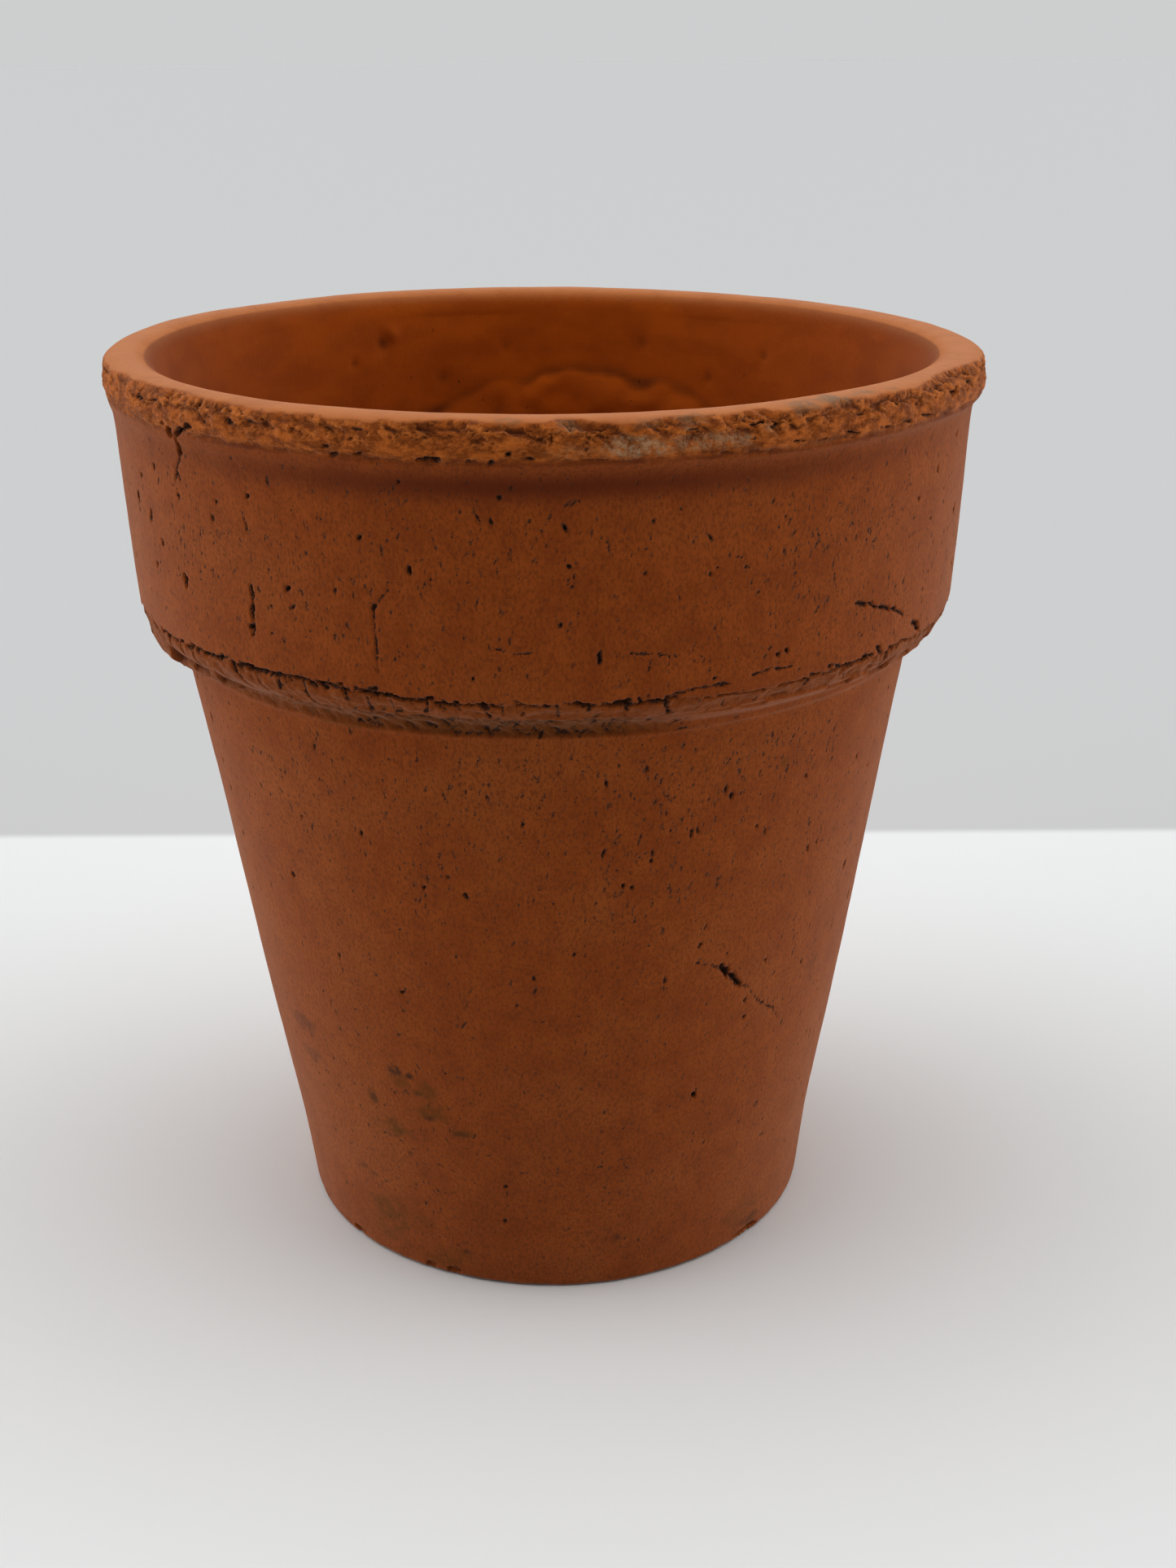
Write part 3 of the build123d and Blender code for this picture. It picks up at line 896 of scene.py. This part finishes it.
class Nodes:
    """Short calls for building a material's nodes."""

    def __init__(self, owner):
        owner.use_nodes = True
        self.tree = owner.node_tree
        self.shader = self.tree.nodes.get("Principled BSDF")

    def put(self, socket, value):
        """Links a socket to an output, or sets its value."""
        if isinstance(value, bpy.types.NodeSocket):
            self.tree.links.new(value, socket)
        else:
            socket.default_value = value

    def fill(self, values):
        """Sets or links sockets of the shader."""
        for name, value in values.items():
            self.put(self.shader.inputs[name], value)

    def add(self, kind, inputs=(), **settings):
        """A new node with its sockets and settings."""
        node = self.tree.nodes.new(kind)
        for key, value in settings.items():
            setattr(node, key, value)
        for key, value in dict(inputs).items():
            self.put(node.inputs[key], value)
        return node

    def attribute(self, name):
        """A mask of the mesh."""
        return self.add("ShaderNodeAttribute", attribute_name=name).outputs["Fac"]

    def math(self, operation, first, second=0.0, clamp=False):
        """One sum on two values."""
        inputs = {0: first, 1: second}
        return self.add("ShaderNodeMath", inputs, operation=operation, use_clamp=clamp).outputs[0]

    def times(self, first, second):
        """The product of two values."""
        return self.math("MULTIPLY", first, second)

    def ramp(self, value, low, high, to_low=0.0, to_high=1.0):
        """Smooth ramp between two values."""
        inputs = {"Value": value, "From Min": low, "From Max": high, "To Min": to_low, "To Max": to_high}
        return self.add("ShaderNodeMapRange", inputs, interpolation_type="SMOOTHSTEP").outputs[0]

    def mix(self, factor, first, second):
        """A colour between two colours."""
        node = self.add("ShaderNodeMix", data_type="RGBA")
        self.put(node.inputs[0], factor)
        self.put(node.inputs[6], first)
        self.put(node.inputs[7], second)
        return node.outputs[2]

    def place(self, scale=(1.0, 1.0, 1.0)):
        """Object coordinates in millimetres, times a scale."""
        source = self.add("ShaderNodeTexCoord").outputs["Object"]
        scale = tuple(value / MM for value in scale)
        return self.add("ShaderNodeMapping", {"Vector": source, "Scale": scale}).outputs[0]

    def noise(self, place, size, detail=3.0, rough=0.55):
        """Noise from 0 to 1, with lumps of the given size in millimetres."""
        inputs = {"Vector": place, "Scale": 1 / size, "Detail": detail, "Roughness": rough}
        return self.add("ShaderNodeTexNoise", inputs).outputs["Fac"]

    def stirred(self, place, size, amount):
        """A place moved about at random, so that what is drawn there has ragged edges."""
        inputs = {"Vector": place, "Scale": 1 / size, "Detail": 2.0, "Roughness": 0.6}
        shift = self.add("ShaderNodeTexNoise", inputs).outputs["Color"]
        shift = self.add("ShaderNodeVectorMath", {0: shift, 1: (0.5, 0.5, 0.5)}, operation="SUBTRACT")
        shift = self.add("ShaderNodeVectorMath", {0: shift.outputs[0], "Scale": amount}, operation="SCALE")
        return self.add("ShaderNodeVectorMath", {0: place, 1: shift.outputs[0]}, operation="ADD").outputs[0]

    def specks(self, place, size, radius, share):
        """Specks scattered one to a cell, in a share of the cells; size and radius in millimetres."""
        cells = self.add("ShaderNodeTexVoronoi", {"Vector": place, "Scale": 1 / size, "Randomness": 1.0})
        chance = self.add("ShaderNodeSeparateColor", {"Color": cells.outputs["Color"]})
        wanted = self.math("GREATER_THAN", chance.outputs[0], self.math("SUBTRACT", 1.0, share))
        reach = self.times(self.ramp(chance.outputs[1], 0.0, 1.0, 0.45, 1.0), radius / size)
        inside = self.ramp(self.math("DIVIDE", cells.outputs["Distance"], reach), 1.0, 0.55)
        return self.times(inside, wanted)


CLAY_DEEP = srgb(133, 65, 14)
CLAY_PALE = srgb(146, 76, 22)
CLAY_PINK = srgb(152, 88, 40)
CLAY_GRAIN = srgb(106, 51, 13)
# The inside's clay: unweathered, and made lighter and redder than the outside as painted light on the inner
# wall.
CLAY_INSIDE_PAINTED_LIGHT = srgb(187, 97, 5)
CLAY_INSIDE_DEEP_PAINTED_LIGHT = srgb(172, 87, 4)
# The flat of the rim: paler worn clay, and partly a painted highlight of the top, which faces the light.
RIM_PALE_PAINTED_LIGHT = srgb(178, 113, 63)
TORN_DEEP = srgb(122, 62, 13)
TORN_PALE = srgb(180, 104, 40)
TORN_CREST_PAINTED_HIGHLIGHT = srgb(208, 132, 64)
GROOVE_OLIVE_AND_SHADE = srgb(100, 58, 17)
HOLLOW_PAINTED_SHADE = srgb(84, 39, 11)
SHADE_BROWN = srgb(96, 40, 10)
SMUDGE_GREY = srgb(128, 98, 72)
PIT_PAINTED_SHADE = srgb(48, 18, 4)
SOIL_BROWN = srgb(72, 38, 14)
ALGAE_OCHRE = srgb(110, 62, 6)
LIME_WHITE = srgb(170, 146, 118)
DUST_SHEEN = (0.84, 0.66, 0.56, 1.0)


class ClayNodes(Nodes):
    """The fired clay's nodes, with the patterns and masks that its layers share."""

    def __init__(self, material):
        super().__init__(material)
        self.even = self.place()
        self.mottle = self.noise(self.even, 2.4, 5.0, 0.62)
        self.fine = self.noise(self.even, 0.35, 4.0, 0.65)
        self.ragged = self.noise(self.even, 0.8, 4.0, 0.7)
        self.torn = self.attribute("torn")
        self.rim = self.attribute("rim")


def bare_colour(n):
    """The clay's colour: mottled and grained; lighter and redder inside, partly as painted light, and paler
    on the rim, partly as a painted highlight.
    """
    colour = n.mix(n.ramp(n.mottle, 0.32, 0.68), CLAY_DEEP, CLAY_PALE)
    colour = n.mix(n.ramp(n.noise(n.even, 12.0), 0.45, 0.72, 0.0, 0.45), colour, CLAY_PINK)
    colour = n.mix(n.ramp(n.fine, 0.35, 0.7, 0.0, 0.22), colour, CLAY_PINK)
    grain = n.noise(n.place((1.0, 1.0, 0.6)), 0.2, 3.0, 0.7)
    colour = n.mix(n.ramp(grain, 0.42, 0.68, 0.0, 0.65), colour, CLAY_GRAIN)
    clouds = n.noise(n.place((1.0, 1.0, 1.8)), 5.0, 4.0)
    # Inside: unweathered clay, lighter and redder as painted light.
    inside = n.mix(n.ramp(clouds, 0.35, 0.65), CLAY_INSIDE_PAINTED_LIGHT, CLAY_INSIDE_DEEP_PAINTED_LIGHT)
    colour = n.mix(n.attribute("inside"), colour, inside)
    # Paler on the rim: mottled wear, and partly a painted highlight of the top.
    return n.mix(n.times(n.rim, n.ramp(n.mottle, 0.25, 0.6, 0.72, 1.0)), colour, RIM_PALE_PAINTED_LIGHT)


def weathered(n, colour):
    """The torn face with a painted highlight on its crests, painted shade under the lip, the groove's olive
    tint with painted shade, and painted shade in hollows and clefts.
    """
    leaves = n.noise(n.place((0.4, 0.4, 1.0)), 0.55, 5.0, 0.7)
    torn_colour = n.mix(n.ramp(leaves, 0.38, 0.62), TORN_DEEP, TORN_PALE)
    # Painted highlight on the crests of the torn leaves.
    crest = n.times(n.attribute("proud"), n.ramp(n.fine, 0.35, 0.6, 0.3, 1.0))
    torn_colour = n.mix(crest, torn_colour, TORN_CREST_PAINTED_HIGHLIGHT)
    colour = n.mix(n.times(n.torn, 0.9), colour, torn_colour)
    # Painted shade: browner under the lip and at the sides of the inner wall.
    colour = n.mix(n.times(n.attribute("shade"), 0.6), colour, SHADE_BROWN)
    # Olive tint of the band and groove, darker as painted shade.
    colour = n.mix(n.times(n.attribute("seam"), 0.75), colour, GROOVE_OLIVE_AND_SHADE)
    # Painted shade: darker in hollows and in the torn face's clefts.
    hollow = n.ramp(n.attribute("hollow"), 0.1, 1.0, 0.0, 0.7)
    crease = n.ramp(n.attribute("crease"), 0.2, 1.0, 0.0, 0.68)
    return n.mix(n.math("MAXIMUM", hollow, crease), colour, HOLLOW_PAINTED_SHADE)


def soiled(n, colour):
    """Algae, soil, lime bloom and the smudges on the rim."""
    ochre = n.times(n.attribute("ochre"), n.ramp(n.ragged, 0.36, 0.54, 0.2, 1.0))
    colour = n.mix(ochre, colour, ALGAE_OCHRE)
    brown = n.times(n.attribute("brown"), n.ramp(n.ragged, 0.38, 0.52, 0.25, 1.0))
    colour = n.mix(brown, colour, SOIL_BROWN)
    crust = n.ramp(n.noise(n.even, 0.4, 5.0, 0.75), 0.36, 0.66)
    colour = n.mix(n.times(n.times(n.attribute("lime"), crust), 0.8), colour, LIME_WHITE)
    smudge = n.times(n.attribute("smudge"), n.ramp(n.ragged, 0.36, 0.52, 0.25, 1.0))
    return n.mix(smudge, colour, SMUDGE_GREY)


def pit_pattern(n):
    """Pits, cracks and specks, from 0 on whole clay to 1 in a mark; the clay is coloured near black there as
    painted shade.
    """
    upright = n.stirred(n.place((1.0, 1.0, 0.4)), 0.3, 0.22)
    pitting = n.attribute("pitting")
    small = n.specks(upright, 0.42, 0.09, n.times(pitting, 0.85))
    medium = n.specks(upright, 0.9, 0.13, n.times(pitting, 0.3))
    speck = n.math("MAXIMUM", n.times(small, 0.62), medium)
    skin = n.math("SUBTRACT", 1.0, n.math("MAXIMUM", n.torn, n.times(n.rim, 0.8)), clamp=True)
    ragging = n.ramp(n.noise(n.even, 0.17, 3.0, 0.65), 0.0, 1.0, -0.5, 0.5)
    mark = n.ramp(n.math("ADD", n.attribute("pit"), ragging), 0.42, 0.60)
    fine_mark = n.ramp(n.math("ADD", n.attribute("fine"), ragging), 0.40, 0.62)
    speck = n.math("MAXIMUM", n.times(n.times(speck, skin), 0.75), n.times(fine_mark, 0.85))
    return n.math("MAXIMUM", speck, mark)


def fine_relief(n, pit):
    """The finest relief: grain, wiping marks, the torn face's roughness and the marks."""
    brushed = n.noise(n.place((1.0, 1.0, 0.12)), 0.22, 2.0)
    relief = n.math("ADD", n.times(n.fine, 0.26), n.times(brushed, 0.2))
    relief = n.math("SUBTRACT", relief, pit)
    torn_grain = n.times(n.torn, n.noise(n.even, 0.25, 4.0, 0.7))
    relief = n.math("ADD", relief, n.times(torn_grain, 1.2))
    return n.add("ShaderNodeBump", {"Strength": 0.9, "Distance": 0.00012, "Height": relief}).outputs[0]


def make_clay_material():
    """Unglazed fired clay: mottled, pitted, torn and soiled where the masks say."""
    material = bpy.data.materials.new("fired_clay")
    n = ClayNodes(material)
    colour = soiled(n, weathered(n, bare_colour(n)))
    pit = pit_pattern(n)
    n.fill({
        # Painted shade: pits, cracks and specks coloured near black.
        "Base Color": n.mix(n.times(pit, 0.88), colour, PIT_PAINTED_SHADE),
        "Roughness": n.ramp(n.fine, 0.3, 0.7, 0.78, 0.92),
        "Normal": fine_relief(n, pit),
        "Specular IOR Level": 0.12,
        "Sheen Weight": 0.28,
        "Sheen Roughness": 0.48,
        "Sheen Tint": DUST_SHEEN,
    })
    return material


def linked(name, data):
    """A new object in the scene."""
    thing = bpy.data.objects.new(name, data)
    bpy.context.scene.collection.objects.link(thing)
    return thing


def make_pot():
    """The whole pot: one piece of clay in place of the CAD node."""
    add_waves()
    add_inner_wall()
    add_torn_lip()
    add_band_swell()
    add_seam()
    add_foot_wear()
    add_front_marks()
    add_pit_fields()
    add_scattered_marks()
    add_stains()
    add_hollow_mask()
    add_shade_mask()
    add_zone_masks()
    pot = linked("terracotta_pot", build_mesh("terracotta_pot"))
    pot.data.materials.append(make_clay_material())
    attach(pot, "root")
    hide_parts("pot")


# ---- floor, light and camera

FLOOR_REACH = 5.0
BACKDROP_HEIGHT = 3.5
BACKDROP_SIDES = 48
BACKDROP_GREY = (0.675, 0.679, 0.682, 1)
TABLE_NEAR = (0.745, 0.753, 0.75, 1)
TABLE_FAR = (0.565, 0.565, 0.565, 1)
TABLE_END = 0.0756


def make_floor():
    """A plain pale table top that turns a shade greyer behind the pot."""
    mesh = bpy.data.meshes.new("floor")
    signs = ((-1, -1), (1, -1), (1, 1), (-1, 1))
    mesh.from_pydata([(x * FLOOR_REACH, y * FLOOR_REACH, 0) for x, y in signs], [], [(0, 1, 2, 3)])
    material = bpy.data.materials.new("pale_floor")
    n = Nodes(material)
    place = n.add("ShaderNodeSeparateXYZ", {0: n.add("ShaderNodeTexCoord").outputs["Object"]})
    behind = n.ramp(place.outputs[1], TABLE_END - 0.001, TABLE_END + 0.0015)
    colour = n.mix(behind, TABLE_NEAR, TABLE_FAR)
    n.fill({"Base Color": colour, "Roughness": 0.9, "Specular IOR Level": 0.1})
    mesh.materials.append(material)
    linked("floor", mesh)


def make_backdrop():
    """A pale screen round the edge of the floor, which only the camera sees."""
    mesh = bpy.data.meshes.new("backdrop")
    sides = BACKDROP_SIDES
    ring = [(math.cos(2 * math.pi * i / sides), math.sin(2 * math.pi * i / sides)) for i in range(sides)]
    corners = [(x * FLOOR_REACH, y * FLOOR_REACH, z) for z in (0, BACKDROP_HEIGHT) for x, y in ring]
    faces = [(i, (i + 1) % sides, sides + (i + 1) % sides, sides + i) for i in range(sides)]
    mesh.from_pydata(corners, [], faces)
    material = bpy.data.materials.new("pale_screen")
    n = Nodes(material)
    n.fill({"Base Color": (0, 0, 0, 1), "Emission Color": BACKDROP_GREY, "Emission Strength": 1.0,
            "Specular IOR Level": 0.0})
    mesh.materials.append(material)
    backdrop = linked("backdrop", mesh)
    for kind in ("diffuse", "glossy", "transmission", "volume_scatter", "shadow"):
        setattr(backdrop, "visible_" + kind, False)


# Light falls mostly from above and a little behind: the direction it comes from, and the
# strengths away from it, towards it and added level with the pot at each side.
LIGHT_FROM = (-0.05, 0.20, 0.98)
DIM_SKY = 0.0
BRIGHT_SKY = 1.45
SIDE_SKY = 4.0
SKY_COLOUR = (0.985, 0.992, 1.0, 1)


def make_light():
    """An even studio surround, brightest overhead and dim behind the viewer."""
    world = bpy.data.worlds.new("surround")
    n = Nodes(world)
    way = n.add("ShaderNodeTexCoord").outputs["Generated"]
    facing = n.add("ShaderNodeVectorMath", {0: way, 1: LIGHT_FROM}, operation="DOT_PRODUCT").outputs["Value"]
    sideways = n.add("ShaderNodeSeparateXYZ", {0: way}).outputs[0]
    sides = n.times(n.math("POWER", n.math("ABSOLUTE", sideways), 4.0), SIDE_SKY)
    strength = n.math("ADD", n.ramp(facing, 0.4, 0.98, DIM_SKY, BRIGHT_SKY), sides)
    background = n.tree.nodes["Background"]
    background.inputs["Color"].default_value = SKY_COLOUR
    n.put(background.inputs["Strength"], strength)
    bpy.context.scene.world = world


# The viewpoint: metres from the pot's origin, degrees, and millimetres of lens and film height.
EYE = (0.00319, -0.16030, 0.09949)
LOOK_DOWN = 21.4
ROLL = -0.32
LENS = 44.84
FILM = 36.0


def make_camera():
    """A camera in front of the pot, looking down on it."""
    camera = bpy.data.cameras.new("camera")
    camera.lens = LENS
    camera.sensor_width = FILM
    camera.clip_start = 0.01
    holder = linked("camera", camera)
    tilt = Matrix.Rotation(math.radians(90 - LOOK_DOWN), 4, "X")
    holder.matrix_world = Matrix.Translation(EYE) @ tilt @ Matrix.Rotation(math.radians(ROLL), 4, "Z")
    bpy.context.scene.camera = holder


def set_view():
    """A plain screen transform, a little stronger in contrast."""
    view = bpy.context.scene.view_settings
    view.view_transform = "Standard"
    view.look = "None"
    view.exposure = 0.0
    view.gamma = 0.8


make_camera()
make_pot()
make_floor()
make_backdrop()
make_light()
set_view()

bpy.context.view_layer.update()
